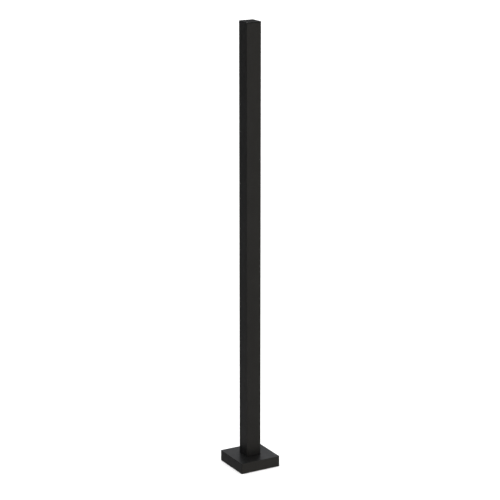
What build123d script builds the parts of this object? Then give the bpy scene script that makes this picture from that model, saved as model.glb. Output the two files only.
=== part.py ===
from build123d import *

import os

# Floor-fixed barrier post: a slim square steel post on a square foot that is bolted to the floor.
#
# The post is a square tube with a flat moulded cap pushed into its top. Its lower end slides over a stub
# of smaller tube, the spigot, which is welded into a drilled foot plate, and four button-head screws
# through the post lock it there. A rubber gasket lies under the plate. A square cover hides the foot. It
# stands loose on the floor around the plate, with a nylon liner around the post, and slides up the post
# to give access to the screws and the floor bolts.
#
# Units are millimetres, +Z is up, and the origin is on the floor at the centre of the foot. The faces
# look along X and Y, and the front is -Y.

# Driving dimensions
INCH = 25.4
HEIGHT = 36 * INCH
TUBE_SIDE = 1.25 * INCH
TUBE_WALL = 1.65
TUBE_CORNER = 0.8
COVER_SIDE = 3.5 * INCH
COVER_HEIGHT = 22.2

# Floor gasket and foot plate
PLATE_SIDE = 80.0
PLATE_THICKNESS = 6.0
PLATE_CORNER = 5.0
PLATE_EDGE_BREAK = 0.6
GASKET_THICKNESS = 1.5
GASKET_WINDOW = 38.0
BOLT_SPACING = 56.0
BOLT_HOLE_RADIUS = 4.5

# Spigot: the stub of tube that the post slides over, and its weld
SPIGOT_SIDE = 28.0
SPIGOT_WALL = 3.0
SPIGOT_CORNER = 1.6
SPIGOT_INNER_CORNER = 0.6
SPIGOT_LENGTH = 68.0
SPIGOT_LEAD_IN = 1.2
SPIGOT_SEAT_GAP = 0.1
WELD_GROOVE = 2.2

# Foot screws: M5 button heads with plain shanks, one in each side of the post
SCREW_HEIGHT = 13.3
SCREW_RADIUS = 2.45
SCREW_LENGTH = 8.0
SCREW_TIP_BREAK = 0.5
SCREW_HEAD_RADIUS = 4.75
SCREW_HEAD_HEIGHT = 2.75
SCREW_CROWN_FLAT = 0.25
SCREW_SOCKET_FLATS = 3.0
SCREW_SOCKET_DEPTH = 1.7
SCREW_TAPPED_RADIUS = 2.5
SCREW_CLEARANCE_RADIUS = 2.75
WASHER_RADIUS = 5.0
WASHER_HOLE_RADIUS = 2.65
WASHER_THICKNESS = 1.0
WASHER_EDGE_BREAK = 0.2

# Cover, and the liner around its opening
COVER_WALL = 2.0
COVER_CORNER = 1.6
COVER_INNER_CORNER = 0.8
COVER_TOP_EDGE = 0.8
COVER_RIM_BREAK = 0.3
RIB_PLATE_GAP = 0.5
RIB_THICKNESS = 1.6
RIB_SPACING = 44.0
RIB_RIM_GAP = 3.0
LINER_CLEARANCE = 0.4
LINER_WALL = 1.0
LINER_SEAT_GAP = 0.05
LINER_RECESS = 0.15
LINER_FLANGE_WIDTH = 2.2
LINER_FLANGE_THICKNESS = 1.0

# Top cap
CAP_THICKNESS = 2.4
CAP_TOP_EDGE = 0.7
CAP_JOINT_BREAK = 0.25
CAP_SKIRT_SIDE = 26.4
CAP_SKIRT_WALL = 1.8
CAP_SKIRT_CORNER = 1.6
CAP_SKIRT_DEPTH = 17.0
CAP_SKIRT_LEAD_IN = 0.9
CAP_FIN_COUNT = 3
CAP_FIN_PITCH = 4.6
CAP_FIN_THICKNESS = 1.6
CAP_FIN_ROOT = 0.1
CAP_FIN_GAP = 0.05

# Worked-out levels and widths
plate_bottom = GASKET_THICKNESS
plate_top = plate_bottom + PLATE_THICKNESS
tube_top = HEIGHT - CAP_THICKNESS
tube_inside = TUBE_SIDE - 2 * TUBE_WALL
tube_inner_corner = 0.4
spigot_inside = SPIGOT_SIDE - 2 * SPIGOT_WALL
spigot_seat = SPIGOT_SIDE + 2 * SPIGOT_SEAT_GAP
liner_inside = TUBE_SIDE + 2 * LINER_CLEARANCE
liner_inner_corner = TUBE_CORNER + LINER_CLEARANCE
liner_outer_corner = liner_inner_corner + LINER_WALL
cover_opening = liner_inside + 2 * LINER_WALL
cover_inside = COVER_SIDE - 2 * COVER_WALL
cover_ceiling = COVER_HEIGHT - COVER_WALL
rib_height = (cover_inside - PLATE_SIDE) / 2 - RIB_PLATE_GAP

FROM_BELOW = (Align.CENTER, Align.CENTER, Align.MIN)
FROM_ABOVE = (Align.CENTER, Align.CENTER, Align.MAX)
PAST = 1.0  # how far a cutting tool runs past the surface it cuts


def square_at(side, corner, height):
    """A level square outline with rounded corners, centred on the Z axis."""
    return Pos(0, 0, height) * RectangleRounded(side, side, corner)


def square_bar(side, corner, bottom, top):
    """A solid square bar with rounded corners, upright on the Z axis."""
    return extrude(square_at(side, corner, bottom), amount=top - bottom)


def top_edges(solid):
    """The edges around the top face of a solid."""
    return solid.faces().sort_by(Axis.Z)[-1].edges()


def bottom_edges(solid):
    """The edges around the bottom face of a solid."""
    return solid.faces().sort_by(Axis.Z)[0].edges()


def cross_bars(radius, height):
    """Two crossing round bars, along X and Y, that cut one hole in each side of a square tube."""
    bar = Cylinder(radius, 2 * TUBE_SIDE)
    return Pos(0, 0, height) * (Rot(90, 0, 0) * bar + Rot(0, 90, 0) * bar)


def drill_bolt_holes(sheet, bottom, top):
    """A sheet with the four floor bolt holes drilled through it."""
    drill = Cylinder(BOLT_HOLE_RADIUS, top - bottom + 2 * PAST, align=FROM_BELOW)
    for place in GridLocations(BOLT_SPACING, BOLT_SPACING, 2, 2):
        sheet -= Pos(0, 0, bottom - PAST) * place * drill
    return sheet


def weld_groove():
    """The tapered square plug that opens the spigot's seat towards the underside of the plate."""
    mouth_side = spigot_seat + 2 * WELD_GROOVE
    mouth = square_at(mouth_side, SPIGOT_CORNER + WELD_GROOVE, plate_bottom)
    throat = square_at(spigot_seat, SPIGOT_CORNER, plate_bottom + WELD_GROOVE)
    return loft([mouth, throat])


def make_post_tube():
    """The post: a square tube that stands on the foot plate, drilled for the four foot screws."""
    tube = square_bar(TUBE_SIDE, TUBE_CORNER, plate_top, tube_top)
    tube = chamfer(top_edges(tube), CAP_JOINT_BREAK)
    tube -= square_bar(tube_inside, tube_inner_corner, plate_top - PAST, tube_top + PAST)
    return tube - cross_bars(SCREW_CLEARANCE_RADIUS, SCREW_HEIGHT)


def make_top_cap():
    """The cap: a flat lid flush with the post, over a hollow skirt with fins that grip the tube."""
    lid = square_bar(TUBE_SIDE, TUBE_CORNER, tube_top, HEIGHT)
    lid = chamfer(bottom_edges(lid), CAP_JOINT_BREAK)
    lid = fillet(top_edges(lid), CAP_TOP_EDGE)
    skirt_foot = tube_top - CAP_SKIRT_DEPTH
    skirt = square_bar(CAP_SKIRT_SIDE, CAP_SKIRT_CORNER, skirt_foot, tube_top)
    cap = lid + chamfer(bottom_edges(skirt), CAP_SKIRT_LEAD_IN)
    for number in range(CAP_FIN_COUNT):
        cap += make_cap_fin(tube_top - CAP_FIN_PITCH * (number + 0.5))
    hollow_side = CAP_SKIRT_SIDE - 2 * CAP_SKIRT_WALL
    return cap - square_bar(hollow_side, SPIGOT_INNER_CORNER, skirt_foot - PAST, tube_top)


def make_cap_fin(top):
    """One fin around the skirt, sloping outwards from its root to its tip at the top."""
    root_side = CAP_SKIRT_SIDE + 2 * CAP_FIN_ROOT
    root = square_at(root_side, CAP_SKIRT_CORNER, top - CAP_FIN_THICKNESS)
    tip = square_at(tube_inside - 2 * CAP_FIN_GAP, tube_inner_corner, top)
    return loft([root, tip])


def make_foot_plate():
    """The steel plate, with floor bolt holes and a square seat for the spigot, grooved for the weld."""
    plate = square_bar(PLATE_SIDE, PLATE_CORNER, plate_bottom, plate_top)
    plate = chamfer(top_edges(plate), PLATE_EDGE_BREAK)
    plate -= square_bar(spigot_seat, SPIGOT_CORNER, plate_bottom - PAST, plate_top + PAST)
    plate -= weld_groove()
    return drill_bolt_holes(plate, plate_bottom, plate_top)


def make_spigot():
    """The stub of thick tube that carries the post, tapped for the four foot screws."""
    top = plate_bottom + SPIGOT_LENGTH
    stub = square_bar(SPIGOT_SIDE, SPIGOT_CORNER, plate_bottom, top)
    stub = chamfer(top_edges(stub), SPIGOT_LEAD_IN)
    stub -= square_bar(spigot_inside, SPIGOT_INNER_CORNER, plate_bottom - PAST, top + PAST)
    return stub - cross_bars(SCREW_TAPPED_RADIUS, SCREW_HEIGHT)


def make_spigot_weld():
    """The weld that fills the groove between the spigot and the plate, ground flush below."""
    return weld_groove() - square_bar(SPIGOT_SIDE, SPIGOT_CORNER, plate_bottom - PAST, plate_top)


def make_floor_gasket():
    """The rubber sheet under the foot plate, with a window around the weld."""
    sheet = square_bar(PLATE_SIDE, PLATE_CORNER, 0, GASKET_THICKNESS)
    sheet -= square_bar(GASKET_WINDOW, PLATE_CORNER, -PAST, GASKET_THICKNESS + PAST)
    return drill_bolt_holes(sheet, 0, GASKET_THICKNESS)


def make_foot_screw():
    """A button-head socket screw through the +X side of the post, with its head on its washer."""
    shank = Cylinder(SCREW_RADIUS, SCREW_LENGTH, align=FROM_ABOVE)
    shank = chamfer(bottom_edges(shank), SCREW_TIP_BREAK)
    crown = SCREW_HEAD_HEIGHT - SCREW_CROWN_FLAT
    dome_radius = (SCREW_HEAD_RADIUS**2 + SCREW_HEAD_HEIGHT**2) / (2 * SCREW_HEAD_HEIGHT)
    dome = Pos(0, 0, SCREW_HEAD_HEIGHT - dome_radius) * Sphere(dome_radius)
    head = dome & Cylinder(SCREW_HEAD_RADIUS, crown, align=FROM_BELOW)
    hexagon = Pos(0, 0, crown) * RegularPolygon(SCREW_SOCKET_FLATS / 2, 6, major_radius=False)
    screw = shank + head - extrude(hexagon, amount=-SCREW_SOCKET_DEPTH)
    return Pos(TUBE_SIDE / 2 + WASHER_THICKNESS, 0, SCREW_HEIGHT) * Rot(0, 90, 0) * screw


def make_foot_washer():
    """A flat washer against the +X side of the post."""
    disc = Cylinder(WASHER_RADIUS, WASHER_THICKNESS, align=FROM_BELOW)
    disc = chamfer(top_edges(disc), WASHER_EDGE_BREAK)
    washer = disc - Cylinder(WASHER_HOLE_RADIUS, 4 * WASHER_THICKNESS)
    return Pos(TUBE_SIDE / 2, 0, SCREW_HEIGHT) * Rot(0, 90, 0) * washer


def make_base_cover():
    """The cast cover: a square shell, open below, with an opening for the post and centring ribs."""
    cover = square_bar(COVER_SIDE, COVER_CORNER, 0, COVER_HEIGHT)
    cover = fillet(top_edges(cover), COVER_TOP_EDGE)
    cover = chamfer(bottom_edges(cover), COVER_RIM_BREAK)
    cover -= square_bar(cover_inside, COVER_INNER_CORNER, -PAST, cover_ceiling)
    cover -= square_bar(cover_opening, liner_outer_corner, 0, COVER_HEIGHT + PAST)
    for turn in (0, 90, 180, 270):
        for offset in (-RIB_SPACING / 2, RIB_SPACING / 2):
            cover += Rot(0, 0, turn) * Pos(0, offset, 0) * make_cover_rib()
    return cover


def make_cover_rib():
    """One upright rib on the inside of the cover's +X wall, rooted in the wall and the top."""
    root = COVER_WALL / 2
    height = cover_ceiling - RIB_RIM_GAP + root
    rib = Box(rib_height + root, RIB_THICKNESS, height, align=(Align.MAX, Align.CENTER, Align.MIN))
    return Pos(cover_inside / 2 + root, 0, RIB_RIM_GAP) * rib


def make_cover_liner():
    """The nylon ring pressed into the cover's opening: a thin wall on a flange below the cover's top."""
    flange_bottom = cover_ceiling - LINER_FLANGE_THICKNESS
    wall_side = cover_opening - 2 * LINER_SEAT_GAP
    wall_top = COVER_HEIGHT - LINER_RECESS
    flange_side = cover_opening + 2 * LINER_FLANGE_WIDTH
    flange_corner = liner_outer_corner + LINER_FLANGE_WIDTH / 2
    liner = square_bar(wall_side, liner_outer_corner, flange_bottom, wall_top)
    liner += square_bar(flange_side, flange_corner, flange_bottom, cover_ceiling)
    return liner - square_bar(liner_inside, liner_inner_corner, flange_bottom - PAST, wall_top + PAST)


def make_parts():
    """Every sub-part by its node name."""
    parts = {
        "post_tube": make_post_tube(),
        "top_cap": make_top_cap(),
        "foot_plate": make_foot_plate(),
        "spigot": make_spigot(),
        "spigot_weld": make_spigot_weld(),
        "floor_gasket": make_floor_gasket(),
        "base_cover": make_base_cover(),
        "cover_liner": make_cover_liner(),
    }
    for side, turn in (("right", 0), ("back", 90), ("left", 180), ("front", 270)):
        parts[f"foot_screw_{side}"] = Rot(0, 0, turn) * make_foot_screw()
        parts[f"foot_washer_{side}"] = Rot(0, 0, turn) * make_foot_washer()
    return parts


os.makedirs("parts", exist_ok=True)
for node, solid in make_parts().items():
    export_step(solid, f"parts/{node}.step")
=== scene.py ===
import math

import bpy
import numpy as np
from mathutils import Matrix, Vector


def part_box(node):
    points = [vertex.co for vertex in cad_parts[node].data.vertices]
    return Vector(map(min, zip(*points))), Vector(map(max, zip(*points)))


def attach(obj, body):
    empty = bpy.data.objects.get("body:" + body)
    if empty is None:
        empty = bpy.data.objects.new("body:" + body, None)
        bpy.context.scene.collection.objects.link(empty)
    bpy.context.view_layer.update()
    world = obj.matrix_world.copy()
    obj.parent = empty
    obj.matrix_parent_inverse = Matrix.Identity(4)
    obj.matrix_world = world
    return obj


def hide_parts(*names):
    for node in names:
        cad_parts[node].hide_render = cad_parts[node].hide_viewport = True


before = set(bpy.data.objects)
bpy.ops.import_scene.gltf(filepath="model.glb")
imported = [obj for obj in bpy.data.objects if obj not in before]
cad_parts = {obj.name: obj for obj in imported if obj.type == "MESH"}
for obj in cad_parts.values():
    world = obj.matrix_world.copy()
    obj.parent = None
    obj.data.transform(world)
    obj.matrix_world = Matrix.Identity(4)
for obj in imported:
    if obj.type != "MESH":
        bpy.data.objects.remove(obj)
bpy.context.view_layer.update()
MM = 0.001


# ---------------------------------------------------------------- Post tube
# The upright: square steel tube with small sharp-rolled corners, deburred at the top, drilled near its
# foot for the four foot screws, and finished in satin black powder coat. It stands on the foot plate
# with the spigot inside it.

EDGE_SUPPORT = 0.25 * MM  # how far from an edge a flat face starts to turn, as a coat of powder does


def arc(centre_out, centre_up, radius, start, end, steps=5):
    """Profile points on an arc about (centre_out, centre_up), from start to end degrees.

    An angle of 0 points outwards and 90 points up.
    """
    angle = np.radians(np.linspace(start, end, steps + 1))
    return np.column_stack([centre_out + radius * np.cos(angle), centre_up + radius * np.sin(angle)])


def profile_on(corner_centre, *stretches):
    """Rows of (half side, corner centre, height) from stretches of (half side, height) points."""
    return np.insert(np.vstack(stretches), 1, corner_centre, axis=1)


def with_supports(profile, closed):
    """The profile with a point added just inside each end of every long straight run."""
    following = np.roll(profile, -1, axis=0) if closed else profile[1:]
    rows = []
    for here, there in zip(profile, following):
        rows.append(here)
        run = math.hypot(there[0] - here[0], there[2] - here[2])
        if run > 3 * EDGE_SUPPORT:
            step = (there - here) * EDGE_SUPPORT / run
            rows += [here + step, there - step]
    return np.array(rows if closed else rows + [profile[-1]])


def square_rings(profile, corner_steps=5, side_marks=(), inset=0.0):
    """Points of a surface that goes round a rounded square, as an array [ring, place, xyz].

    A ring with half side a and corner centre c is the walk round a square of side 2a whose corners are
    quarter circles of radius a - c about (c, c). One side is the points (a - inset, t), with t running
    over the side's marks, given as shares of c, between two support points near c. Its corner is
    (c + r cos, c + r sin), and the other three sides are that quarter turned by 90, 180 and 270
    degrees.
    """
    half_side, centre, height = profile.T[:, :, None]
    radius = half_side - centre
    end_mark = centre - EDGE_SUPPORT
    along = np.hstack([-end_mark, centre * np.asarray(side_marks, float)[None], end_mark])
    outwards = np.broadcast_to(half_side, along.shape).copy()
    outwards[:, 1:-1] -= inset
    angle = np.radians(np.linspace(0, 90, corner_steps + 1))[None]
    x = np.hstack([outwards, centre + radius * np.cos(angle)])
    y = np.hstack([along, centre + radius * np.sin(angle)])
    z = np.broadcast_to(height, x.shape)
    quarter_turns = [(x, y), (-y, x), (-x, -y), (y, -x)]
    return np.concatenate([np.stack([a, b, z], axis=-1) for a, b in quarter_turns], axis=1)


def ring_faces(rings, places, closed):
    """Four-sided faces between neighbouring rings, and a flat face on each end of an open surface."""
    number = np.arange(rings * places).reshape(rings, places)
    upper = np.roll(number, -1, axis=0)
    faces = np.stack([number, np.roll(number, -1, axis=1), np.roll(upper, -1, axis=1), upper], axis=-1)
    if closed:
        return faces.reshape(-1, 4).tolist()
    return faces[:-1].reshape(-1, 4).tolist() + [number[0, ::-1].tolist(), number[-1].tolist()]


def shade(mesh, crease=35):
    """Smooth shading, except across edges sharper than crease degrees."""
    mesh.shade_smooth()
    mesh.set_sharp_from_angle(angle=math.radians(crease))


def new_piece(name, points, closed):
    """An object whose surface runs through an array of points [ring, place, xyz]."""
    mesh = bpy.data.meshes.new(name)
    mesh.from_pydata(points.reshape(-1, 3), [], ring_faces(*points.shape[:2], closed))
    shade(mesh)
    piece = bpy.data.objects.new(name, mesh)
    bpy.context.scene.collection.objects.link(piece)
    return piece


def in_place_of(node, piece, body, material):
    """Shows a piece in place of its CAD node, on its body and material."""
    piece.data.materials.clear()
    piece.data.materials.append(material)
    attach(piece, body)
    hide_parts(node)


def drilled(piece, radius, height, reach):
    """The piece with one round hole through each of its four sides, at a height, by cutting bars."""
    around = np.linspace(0, 2 * np.pi, 48, endpoint=False)
    ring = np.column_stack([radius * np.cos(around), height + radius * np.sin(around)])
    cutters = []
    for turn in (0, 1):
        ends = np.stack([np.insert(ring, 0, end, axis=1) for end in (-reach, reach)])
        if turn:
            ends = ends[..., [1, 0, 2]] * (-1, 1, 1)
        cutters.append(new_piece("drill", ends, False))
        cut = piece.modifiers.new("drill", "BOOLEAN")
        cut.operation = "DIFFERENCE"
        cut.solver = "EXACT"
        cut.object = cutters[-1]
    bpy.context.view_layer.update()
    whole = piece.data
    cut_piece = piece.evaluated_get(bpy.context.evaluated_depsgraph_get())
    piece.data = bpy.data.meshes.new_from_object(cut_piece)
    piece.modifiers.clear()
    bpy.data.meshes.remove(whole)
    for cutter in cutters:
        bpy.data.meshes.remove(cutter.data)
    shade(piece.data)
    piece.data.name = piece.name
    return piece


tube_low, tube_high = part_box("post_tube")
tube_half = tube_high.x
tube_wall = 1.65 * MM
tube_inside = tube_half - tube_wall
tube_corner_centre = tube_half - 0.8 * MM
tube_inner_corner = 0.4 * MM
screw_clearance_radius = 2.75 * MM
joint_break = 0.25 * MM
screw_height = sum(corner.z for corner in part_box("foot_screw_right")) / 2

tube_profile = np.vstack([
    profile_on(tube_corner_centre,
               [(tube_half, tube_low.z), (tube_half, tube_high.z - joint_break)],
               [(tube_half - joint_break, tube_high.z)]),
    profile_on(tube_inside - tube_inner_corner,
               [(tube_inside, tube_high.z), (tube_inside, tube_low.z)]),
])
tube = new_piece("square_tube", square_rings(with_supports(tube_profile, True)), True)
drilled(tube, screw_clearance_radius, screw_height, 2 * tube_half)


def add_node(tree, kind, inputs=(), **settings):
    """A shader node in a tree. Its inputs are set from values, or linked where a value is a socket."""
    made = tree.nodes.new(kind)
    for name, value in settings.items():
        setattr(made, name, value)
    for name, value in dict(inputs).items():
        if isinstance(value, bpy.types.NodeSocket):
            tree.links.new(value, made.inputs[name])
        else:
            made.inputs[name].default_value = value
    return made


def new_group(name, inputs, outputs):
    """An empty node group. inputs and outputs are lists of (label, socket type without its prefix)."""
    group = bpy.data.node_groups.new(name, "ShaderNodeTree")
    for side, sockets in (("INPUT", inputs), ("OUTPUT", outputs)):
        for label, kind in sockets:
            group.interface.new_socket(label, in_out=side, socket_type="NodeSocket" + kind)
    return group, add_node(group, "NodeGroupInput").outputs, add_node(group, "NodeGroupOutput").inputs


def scaled(tree, colour, factor):
    """A colour times a factor."""
    stretch = add_node(tree, "ShaderNodeVectorMath", {0: colour, "Scale": factor}, operation="SCALE")
    return stretch.outputs[0]


def times(tree, value, factor):
    """A number times a factor."""
    return add_node(tree, "ShaderNodeMath", {0: value, 1: factor}, operation="MULTIPLY").outputs[0]


def per_metre(tree, spacing):
    """How often a spacing fits into a metre, which is what a noise takes as its scale."""
    return add_node(tree, "ShaderNodeMath", {0: 1.0, 1: spacing}, operation="DIVIDE").outputs[0]


def drift(tree, pattern, low, high):
    """A noise pattern spread out to run from low to high."""
    return add_node(tree, "ShaderNodeMapRange", {
        "Value": pattern, "From Min": 0.3, "From Max": 0.7, "To Min": low, "To Max": high,
    }).outputs["Result"]


def make_coat_skin():
    """What every powder coat has: flow marks like orange peel, and slow changes of gloss and tone.

    Height is noise whose spacing is Peel, in metres, and a quarter as much noise four times finer.
    Colour and Roughness are the given ones times a noise 25 times coarser, and Colour also carries the
    speckle of the finer noise.
    """
    group, given, out = new_group(
        "coat_skin", [("Peel", "Float"), ("Roughness", "Float"), ("Colour", "Color")],
        [("Height", "Float"), ("Roughness", "Float"), ("Colour", "Color")])
    place = add_node(group, "ShaderNodeTexCoord").outputs["Object"]
    density = per_metre(group, given["Peel"])
    coarse = times(group, density, 1 / 25)
    fine = times(group, density, 4.0)
    peel, cloud, speckle = (
        add_node(group, "ShaderNodeTexNoise",
                 {"Vector": place, "Scale": scale, "Detail": detail}).outputs[0]
        for scale, detail in ((density, 0.5), (coarse, 4.0), (fine, 1.0)))
    height = add_node(group, "ShaderNodeMath", {0: speckle, 1: 0.25, 2: peel}, operation="MULTIPLY_ADD")
    toned = scaled(group, given["Colour"], drift(group, cloud, 0.88, 1.14))
    group.links.new(height.outputs[0], out["Height"])
    group.links.new(scaled(group, toned, drift(group, speckle, 0.8, 1.2)), out["Colour"])
    group.links.new(times(group, given["Roughness"], drift(group, cloud, 1.1, 0.9)), out["Roughness"])
    return group


def new_material(name, finish, finish_values, bump_depth, **shader_values):
    """A material whose colour, roughness and bump come from a finish group.

    bump_depth is the height of the group's pattern in metres. shader_values go straight onto the
    shader's own sockets, with _ for each space.
    """
    material = bpy.data.materials.new(name)
    material.use_nodes = True
    tree = material.node_tree
    shader = tree.nodes["Principled BSDF"]
    surface = add_node(tree, "ShaderNodeGroup", node_tree=finish)
    for label, value in finish_values.items():
        surface.inputs[label].default_value = value
    bump = add_node(tree, "ShaderNodeBump",
                    {"Height": surface.outputs["Height"], "Distance": bump_depth})
    tree.links.new(surface.outputs["Colour"], shader.inputs["Base Color"])
    tree.links.new(surface.outputs["Roughness"], shader.inputs["Roughness"])
    tree.links.new(bump.outputs["Normal"], shader.inputs["Normal"])
    for label, value in shader_values.items():
        shader.inputs[label.replace("_", " ")].default_value = value
    return material


COAT_SKIN = make_coat_skin()
post_coat = new_material(
    "post_powder_coat", COAT_SKIN,
    {"Peel": 1.3 * MM, "Roughness": 0.33, "Colour": (0.008, 0.008, 0.008, 1)}, 0.09 * MM)
in_place_of("post_tube", tube, "post", post_coat)


# ---------------------------------------------------------------- Top cap
# A push-in cap moulded in black polyethylene, with the fine matt grain of its mould. Its lid is flush
# with the tube, with a small groove at the joint, and three fins round its hollow skirt grip the tube.

cap_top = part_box("top_cap")[1].z
cap_skirt_half = 13.2 * MM
cap_hollow_half = 11.4 * MM
cap_foot = tube_high.z - 17.0 * MM
cap_hollow_corner = 0.6 * MM
cap_skirt_corner = 1.6 * MM
cap_lead_in = 0.9 * MM
lid_edge = 0.7 * MM
fin_tip_half = tube_inside - 0.05 * MM
fin_pitch = 4.6 * MM
fin_thickness = 1.6 * MM
fin_tip_thickness = 0.2 * MM

fins = []
for fin_number in (2, 1, 0):
    fin_top = tube_high.z - fin_pitch * (fin_number + 0.5)
    fins += [(cap_skirt_half, fin_top - fin_thickness), (fin_tip_half, fin_top - fin_tip_thickness),
             (fin_tip_half, fin_top), (cap_skirt_half, fin_top)]
cap_profile = np.vstack([
    profile_on(cap_hollow_half - cap_hollow_corner,
               [(cap_hollow_half, tube_high.z), (cap_hollow_half, cap_foot)]),
    profile_on(cap_skirt_half - cap_skirt_corner,
               [(cap_skirt_half - cap_lead_in, cap_foot), (cap_skirt_half, cap_foot + cap_lead_in)],
               fins, [(cap_skirt_half, tube_high.z)]),
    profile_on(tube_corner_centre,
               [(tube_half - joint_break, tube_high.z), (tube_half, tube_high.z + joint_break)],
               arc(tube_half - lid_edge, cap_top - lid_edge, lid_edge, 0, 90)),
    profile_on(tube_half - 2.5 * lid_edge, [(tube_half - 2 * lid_edge, cap_top)]),
])
cap_rows = with_supports(cap_profile, False)
cap = new_piece("push_in_cap", square_rings(cap_rows), False)


def paint_edge_highlight(material, highlight_colour, spacing):
    """Paints a highlight into a material's colour where the piece's point attribute is high.

    The painted highlight stands in for light caught on rounded edges. It is broken up by noise of
    the given spacing, so that it comes and goes along an edge.
    """
    tree = material.node_tree
    colour = tree.nodes["Principled BSDF"].inputs["Base Color"]
    place = add_node(tree, "ShaderNodeTexCoord").outputs["Object"]
    noise = add_node(tree, "ShaderNodeTexNoise", {"Vector": place, "Scale": 1 / spacing, "Detail": 2.0})
    highlight_paint = add_node(tree, "ShaderNodeAttribute", attribute_name="highlight_paint").outputs["Fac"]
    amount = times(tree, highlight_paint, drift(tree, noise.outputs[0], 0.4, 1.0))
    mixed = add_node(tree, "ShaderNodeMix", {0: amount}, data_type="RGBA")
    tree.links.new(colour.links[0].from_socket, mixed.inputs[6])
    mixed.inputs[7].default_value = highlight_colour
    tree.links.new(mixed.outputs[2], colour)


def make_moulded_grain():
    """The matt grain of moulded or calendered black goods: a fine noise, Grain metres apart.

    Height adds a noise of that spacing to one three times finer. Colour and Roughness are the given
    ones times a slow noise, 40 times coarser.
    """
    group, given, out = new_group(
        "moulded_grain", [("Grain", "Float"), ("Roughness", "Float"), ("Colour", "Color")],
        [("Height", "Float"), ("Roughness", "Float"), ("Colour", "Color")])
    place = add_node(group, "ShaderNodeTexCoord").outputs["Object"]
    density = per_metre(group, given["Grain"])
    grain = add_node(group, "ShaderNodeTexNoise", {
        "Vector": place, "Scale": density, "Detail": 2.0, "Lacunarity": 3.0}).outputs[0]
    cloud = add_node(group, "ShaderNodeTexNoise", {
        "Vector": place, "Scale": times(group, density, 1 / 40)}).outputs[0]
    group.links.new(grain, out["Height"])
    group.links.new(times(group, given["Roughness"], drift(group, cloud, 0.93, 1.07)), out["Roughness"])
    group.links.new(scaled(group, given["Colour"], drift(group, cloud, 0.85, 1.15)), out["Colour"])
    return group


MOULDED_GRAIN = make_moulded_grain()
cap_plastic = new_material(
    "cap_polyethylene", MOULDED_GRAIN,
    {"Grain": 0.5 * MM, "Roughness": 0.7, "Colour": (0.007, 0.007, 0.007, 1)}, 0.045 * MM,
    Specular_IOR_Level=0.3)
# The painted highlight is light grey on the rings of the lid's rounded edge, where light would catch
# it:
# faint along the sides, which are the first two places of each quarter of a ring, and full at the
# corners, which are the other six.
cap_rim = (cap_rows[:, 2] > cap_top - 1.01 * lid_edge) & (cap_rows[:, 0] > tube_half - 1.01 * lid_edge)
cap_corner = np.tile(np.concatenate([np.zeros(2), np.ones(6)]), 4)
highlight_paint = np.outer(cap_rim, 0.1 + 0.9 * cap_corner)
cap.data.attributes.new("highlight_paint", "FLOAT", "POINT").data.foreach_set("value", highlight_paint.ravel())
# Light grey painted into the lid's rim and corners as a highlight.
paint_edge_highlight(cap_plastic, (0.26, 0.26, 0.26, 1), 0.5 * MM)
in_place_of("top_cap", cap, "post", cap_plastic)


# ---------------------------------------------------------------- Foot plate
# A laser-cut 6 mm steel plate, powder coated like the post, with a drilled hole near each corner for
# the floor bolts. The base cover hides it unless the cover is slid up.

plate_coat = new_material(
    "plate_powder_coat", COAT_SKIN,
    {"Peel": 1.0 * MM, "Roughness": 0.4, "Colour": (0.009, 0.009, 0.009, 1)}, 0.08 * MM)
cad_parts["foot_plate"].data.materials[0] = plate_coat


# ---------------------------------------------------------------- Spigot and its weld
# The stub of thick drawn tube that carries the post, left bare and oiled so that the post slides over
# it, and the bead that joins it to the plate from below, ground flush.

def make_worked_metal():
    """Lines left in bare metal by drawing, turning or grinding.

    Height is noise Grain metres apart, drawn out along an axis by Stretch, which divides the
    coordinates. Colour and Roughness are the given ones times the same lines and a slow cloud.
    """
    group, given, out = new_group(
        "worked_metal",
        [("Grain", "Float"), ("Stretch", "Vector"), ("Roughness", "Float"), ("Colour", "Color")],
        [("Height", "Float"), ("Roughness", "Float"), ("Colour", "Color")])
    place = add_node(group, "ShaderNodeTexCoord").outputs["Object"]
    drawn = add_node(group, "ShaderNodeVectorMath", {0: place, 1: given["Stretch"]}, operation="DIVIDE")
    density = per_metre(group, given["Grain"])
    lines = add_node(group, "ShaderNodeTexNoise", {
        "Vector": drawn.outputs[0], "Scale": density, "Detail": 3.0}).outputs[0]
    cloud = add_node(group, "ShaderNodeTexNoise", {"Vector": place, "Scale": 160.0}).outputs[0]
    toned = scaled(group, given["Colour"], drift(group, cloud, 0.88, 1.1))
    group.links.new(lines, out["Height"])
    group.links.new(times(group, given["Roughness"], drift(group, lines, 0.8, 1.25)), out["Roughness"])
    group.links.new(scaled(group, toned, drift(group, lines, 0.93, 1.06)), out["Colour"])
    return group


WORKED_METAL = make_worked_metal()
drawn_steel = new_material(
    "drawn_steel", WORKED_METAL,
    {"Grain": 0.3 * MM, "Stretch": (1, 1, 60), "Roughness": 0.36, "Colour": (0.33, 0.33, 0.34, 1)},
    0.004 * MM, Metallic=1.0)
ground_weld = new_material(
    "ground_weld", WORKED_METAL,
    {"Grain": 0.35 * MM, "Stretch": (30, 1, 1), "Roughness": 0.3, "Colour": (0.42, 0.41, 0.4, 1)},
    0.008 * MM, Metallic=1.0)
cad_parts["spigot"].data.materials[0] = drawn_steel
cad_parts["spigot_weld"].data.materials[0] = ground_weld


# ---------------------------------------------------------------- Floor gasket
# A 1.5 mm sheet of solid black rubber, cut to the outline of the plate, that seals it to the floor.

gasket_rubber = new_material(
    "gasket_rubber", MOULDED_GRAIN,
    {"Grain": 0.25 * MM, "Roughness": 0.78, "Colour": (0.02, 0.02, 0.02, 1)}, 0.02 * MM)
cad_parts["floor_gasket"].data.materials[0] = gasket_rubber


# ---------------------------------------------------------------- Foot screws and washers
# M5 button-head socket screws in bright zinc plate, one through each side of the post into the tapped
# wall of the spigot, each on a stamped washer.

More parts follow.
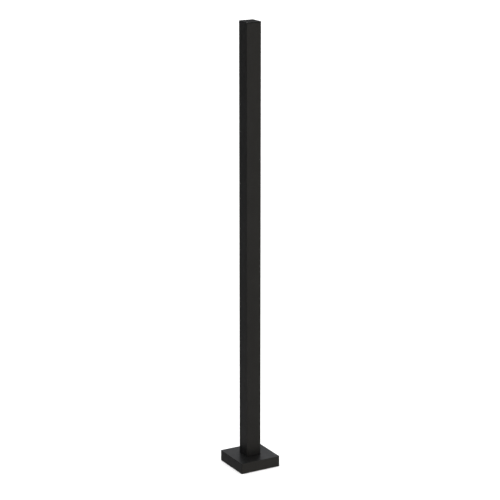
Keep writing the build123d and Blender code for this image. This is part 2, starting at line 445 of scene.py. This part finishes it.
def turned(radius, reach, seat, quarter_turns):
    """Points of a turned piece that lies along +X from seat, given radius and reach as [ring, place].

    A point is (seat + reach, r cos, r sin) at the screw's height, turned about the post by quarters.
    """
    around = np.linspace(0, 2 * np.pi, radius.shape[1], endpoint=False)
    out = seat + reach
    across, up = radius * np.cos(around), screw_height + radius * np.sin(around)
    for _ in range(quarter_turns):
        out, across = -across, out
    return np.stack([out, across, up], axis=-1)


def screw_surface(places=48, rows_per_turn=12):
    """Radius and reach [ring, place] of a button-head screw, from its tip to the floor of its socket.

    The thread's radius falls from crest to root with the distance from the helix reach = pitch x
    (turns + angle / 360): the crest is flat for an eighth of the pitch, and each flank takes 5/16 of
    it. The head is part of a sphere, and the socket's wall is a hexagon, whose radius is half its
    flats over the cosine of the angle from the middle of a side.
    """
    crest, depth, pitch, length = 2.45 * MM, 0.49 * MM, 0.8 * MM, 8.0 * MM
    half_crest_flat, flank = 1 / 16, 5 / 16
    tip_break, run_out, run_out_slope, neck_gap = 0.5 * MM, 1.2 * MM, 0.6, 0.05 * MM
    head_radius, head_height, crown = 4.75 * MM, 2.75 * MM, 2.5 * MM
    seat_radius = head_radius - 0.15 * MM
    half_flats, mouth_break = 1.5 * MM, 0.12 * MM
    socket_floor, drill_radius, drill_floor = crown - 1.7 * MM, 0.45 * MM, crown - 2.0 * MM

    around = np.arange(places) / places
    reach = np.linspace(-length, -neck_gap, int(length / pitch * rows_per_turn))[:, None]
    phase = np.abs((reach / pitch - around) % 1 - 0.5)
    thread = crest - depth * np.clip((phase - half_crest_flat) / flank, 0, 1)
    thread = np.minimum(thread, crest - tip_break + (reach + length))
    faded = np.minimum(thread + (reach + run_out) * run_out_slope, crest)
    thread = np.where(reach > -run_out, faded, thread)

    dome_radius = (head_radius**2 + head_height**2) / (2 * head_height)
    dome_centre = head_height - dome_radius
    flare = np.degrees(math.asin(-dome_centre / dome_radius))
    dome = arc(0, dome_centre, dome_radius, flare + 2, 68, 12)
    hexagon = half_flats / np.cos((around * 2 * np.pi) % (np.pi / 3) - np.pi / 6)
    mouth = np.minimum(crown, dome_centre + np.sqrt(dome_radius**2 - (hexagon + mouth_break) ** 2))
    rings = [
        (thread, reach),
        (np.array([[crest], [seat_radius]]), np.zeros((2, 1))),
        (dome[:, :1], dome[:, 1:]),
        (hexagon + mouth_break, mouth),
        (hexagon, mouth - mouth_break),
        (hexagon, socket_floor),
        (drill_radius, drill_floor),
    ]
    spread = [np.broadcast_arrays(*pair, np.zeros((1, places)))[:2] for pair in rings]
    return [np.vstack(part) for part in zip(*spread)]


bright_zinc = new_material(
    "bright_zinc", WORKED_METAL,
    {"Grain": 0.2 * MM, "Stretch": (1, 1, 1), "Roughness": 0.27, "Colour": (0.6, 0.62, 0.65, 1)},
    0.003 * MM, Metallic=1.0)
washer_hole = 2.65 * MM
washer_radius = 5.0 * MM
washer_thickness = 1.0 * MM
washer_edge = 0.2 * MM
burr_break = 0.05 * MM
hole_break = 0.1 * MM
washer_profile = np.vstack([
    [(washer_hole, 0), (washer_radius - burr_break, 0), (washer_radius, burr_break)],
    arc(washer_radius - washer_edge, washer_thickness - washer_edge, washer_edge, 0, 90),
    [(washer_hole + hole_break, washer_thickness), (washer_hole, washer_thickness - hole_break)],
])
screw_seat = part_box("foot_washer_right")[1].x
for quarter, side in enumerate(("right", "back", "left", "front")):
    screw = new_piece(f"button_screw_{side}", turned(*screw_surface(), screw_seat, quarter), False)
    in_place_of(f"foot_screw_{side}", screw, "post", bright_zinc)
    ring = np.repeat(washer_profile[:, :, None], 48, axis=2)
    washer = new_piece(f"washer_{side}", turned(ring[:, 0], ring[:, 1], tube_half, quarter), True)
    in_place_of(f"foot_washer_{side}", washer, "post", bright_zinc)


# ---------------------------------------------------------------- Base cover
# The square cover over the foot: a zinc casting, open below, with crisp edges, drafted ribs inside
# that centre it on the plate, and a semi-gloss black powder coat. It stands loose on the floor.

cover_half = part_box("base_cover")[1].x
cover_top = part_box("base_cover")[1].z
cover_wall = 2.0 * MM
cover_inside = cover_half - cover_wall
cover_ceiling = cover_top - cover_wall
cover_edge = 0.8 * MM
cover_corner = 1.6 * MM
cover_inner_corner = 0.8 * MM
rim_break = 0.3 * MM
rib_height = 1.95 * MM
rib_foot = 3.0 * MM
rib_draft = 0.15 * MM
rib_place = 22 * MM
opening_half = tube_half + 1.4 * MM
opening_corner = 2.2 * MM
opening_break = 0.2 * MM

cover_profile = with_supports(np.vstack([
    profile_on(cover_half - cover_corner,
               [(cover_half - rim_break, 0), (cover_half, rim_break)],
               arc(cover_half - cover_edge, cover_top - cover_edge, cover_edge, 0, 90)),
    profile_on(opening_half - opening_corner,
               [(opening_half + opening_break, cover_top), (opening_half, cover_top - opening_break)],
               [(opening_half, cover_ceiling)]),
    profile_on(cover_inside - cover_inner_corner,
               [(cover_inside, cover_ceiling), (cover_inside, rib_foot + rib_draft)],
               [(cover_inside, rib_foot), (cover_inside, rim_break), (cover_inside + rim_break, 0)]),
]), True)
rib_edges = np.array([-0.85, -0.7, 0.7, 0.85]) * MM  # foot, tip, tip and foot of a rib's two sides
rib_marks = np.concatenate([rib_edges - rib_place, rib_edges + rib_place])
rib_marks /= cover_inside - cover_inner_corner
on_wall = np.isclose(cover_profile[:, 0], cover_inside) & (cover_profile[:, 2] <= cover_ceiling)
rib_rise = np.clip((cover_profile[:, 2] - rib_foot) / rib_draft, 0, 1) * on_wall
rib_inset = rib_height * np.outer(rib_rise, np.tile([0, 1, 1, 0], 2))
cover = new_piece("foot_cover", square_rings(cover_profile, 5, rib_marks, rib_inset), True)
cover_coat = new_material(
    "cover_powder_coat", COAT_SKIN,
    {"Peel": 1.8 * MM, "Roughness": 0.53, "Colour": (0.0035, 0.0035, 0.0035, 1)}, 0.11 * MM,
    Specular_IOR_Level=0.55, Coat_Roughness=0.24)
cover_tree = cover_coat.node_tree
gloss_spacing = 6 * MM  # the thick film on the cover flows out glossier in some places than in others
gloss_flow = add_node(cover_tree, "ShaderNodeTexNoise", {
    "Vector": add_node(cover_tree, "ShaderNodeTexCoord").outputs["Object"],
    "Scale": 1 / gloss_spacing, "Detail": 5.0, "Roughness": 0.6})
cover_tree.links.new(drift(cover_tree, gloss_flow.outputs[0], 0.42, 0.68),
                     cover_tree.nodes["Principled BSDF"].inputs["Coat Weight"])
in_place_of("base_cover", cover, "cover", cover_coat)


# ---------------------------------------------------------------- Cover liner
# A thin ring of black nylon pressed up into the cover's opening as far as its flange. It keeps the
# cover from scratching the post as it slides.

liner_low, liner_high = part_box("cover_liner")
liner_flange = liner_high.x
liner_seat_gap = 0.05 * MM
slide_clearance = 0.4 * MM
liner_outside = opening_half - liner_seat_gap
liner_inside = tube_half + slide_clearance
liner_edge = 0.2 * MM
liner_profile = np.vstack([
    profile_on(opening_half - opening_corner,
               [(liner_flange, liner_low.z), (liner_flange, cover_ceiling)],
               [(liner_outside, cover_ceiling)],
               arc(liner_outside - liner_edge, liner_high.z - liner_edge, liner_edge, 0, 90, 3),
               arc(liner_inside + liner_edge, liner_high.z - liner_edge, liner_edge, 90, 180, 3),
               [(liner_inside, liner_low.z)]),
])
liner = new_piece("nylon_liner", square_rings(with_supports(liner_profile, True)), True)
liner_nylon = new_material(
    "liner_nylon", MOULDED_GRAIN,
    {"Grain": 0.3 * MM, "Roughness": 0.55, "Colour": (0.009, 0.009, 0.009, 1)}, 0.006 * MM)
in_place_of("cover_liner", liner, "cover", liner_nylon)


# ---------------------------------------------------------------- Studio
# A plain white floor under one very broad soft light, with dim surroundings for the coat to mirror.
# They hold soft brighter patches: high behind the post and high on its left, level in front of it on
# both sides, and fainter ones low on its right and below, so that every side has something to mirror.

floor_mesh = bpy.data.meshes.new("floor")
floor_mesh.from_pydata([(-60, -60, 0), (60, -60, 0), (60, 60, 0), (-60, 60, 0)], [], [(0, 1, 2, 3)])
floor_paint = bpy.data.materials.new("floor_paint")
floor_paint.use_nodes = True
floor_shader = floor_paint.node_tree.nodes["Principled BSDF"].inputs
floor_shader["Base Color"].default_value = (0.9, 0.9, 0.9, 1)
floor_shader["Roughness"].default_value = 1.0
floor_shader["Specular IOR Level"].default_value = 0.0
floor_mesh.materials.append(floor_paint)
floor = bpy.data.objects.new("floor", floor_mesh)
floor.visible_glossy = False
bpy.context.scene.collection.objects.link(floor)

overhead = bpy.data.lights.new("overhead_light", "SUN")
overhead.energy = 4.2
overhead.angle = math.radians(90)
overhead_light = bpy.data.objects.new("overhead_light", overhead)
overhead_light.visible_glossy = False
bpy.context.scene.collection.objects.link(overhead_light)

world = bpy.data.worlds.new("surroundings")
world.use_nodes = True
bpy.context.scene.world = world
sky = world.node_tree
towards = add_node(sky, "ShaderNodeTexCoord").outputs["Generated"]


def glow(azimuth, elevation, full, gone, colour):
    """A soft patch of light in the surroundings, full out to one angle and gone by another.

    Azimuth is from +Y towards +X. All angles are in degrees.
    """
    a, e = math.radians(azimuth), math.radians(elevation)
    middle = (math.sin(a) * math.cos(e), math.cos(a) * math.cos(e), math.sin(e))
    nearness = add_node(sky, "ShaderNodeVectorMath", {0: towards, 1: middle}, operation="DOT_PRODUCT")
    fade = add_node(sky, "ShaderNodeMapRange", {
        "Value": nearness.outputs["Value"], "From Min": math.cos(math.radians(gone)),
        "From Max": math.cos(math.radians(full))}, interpolation_type="SMOOTHSTEP")
    return scaled(sky, colour, fade.outputs["Result"])


dim_room = (0.075, 0.075, 0.075)
light = dim_room
for patch in (glow(30, 50, 10, 42, (0.52, 0.53, 0.555)),
              glow(150, 10, 10, 60, (0.40, 0.378, 0.335)),
              glow(-30, -60, 5, 52, (0.22, 0.22, 0.22)),
              glow(-135, -5, 10, 46, (0.33, 0.32, 0.31)),
              glow(75, -12, 10, 40, (0.17, 0.17, 0.18)),
              glow(-110, 45, 10, 46, (0.3, 0.3, 0.31))):
    light = add_node(sky, "ShaderNodeVectorMath", {0: light, 1: patch}, operation="ADD").outputs[0]
sky.links.new(light, sky.nodes["Background"].inputs["Color"])
backdrop = add_node(sky, "ShaderNodeBackground", {"Color": (1, 1, 1, 1)})
seen = add_node(sky, "ShaderNodeMixShader", {
    "Fac": add_node(sky, "ShaderNodeLightPath").outputs["Is Camera Ray"],
    1: sky.nodes["Background"].outputs[0], 2: backdrop.outputs[0]})
sky.links.new(seen.outputs[0], sky.nodes["World Output"].inputs["Surface"])

CAMERA_AZIMUTH = math.radians(-29.7)
CAMERA_DISTANCE = 3.421
CAMERA_HEIGHT = 1.3995
CAMERA_DOWN = math.radians(15.42)
camera_data = bpy.data.cameras.new("camera")
camera_data.sensor_width = 36.0
camera_data.lens = 128.05
camera = bpy.data.objects.new("camera", camera_data)
camera.location = (CAMERA_DISTANCE * math.sin(CAMERA_AZIMUTH),
                   -CAMERA_DISTANCE * math.cos(CAMERA_AZIMUTH), CAMERA_HEIGHT)
camera.rotation_euler = (math.radians(90) - CAMERA_DOWN, 0, CAMERA_AZIMUTH)
bpy.context.scene.collection.objects.link(camera)
bpy.context.scene.camera = camera
bpy.context.scene.view_settings.view_transform = "Standard"
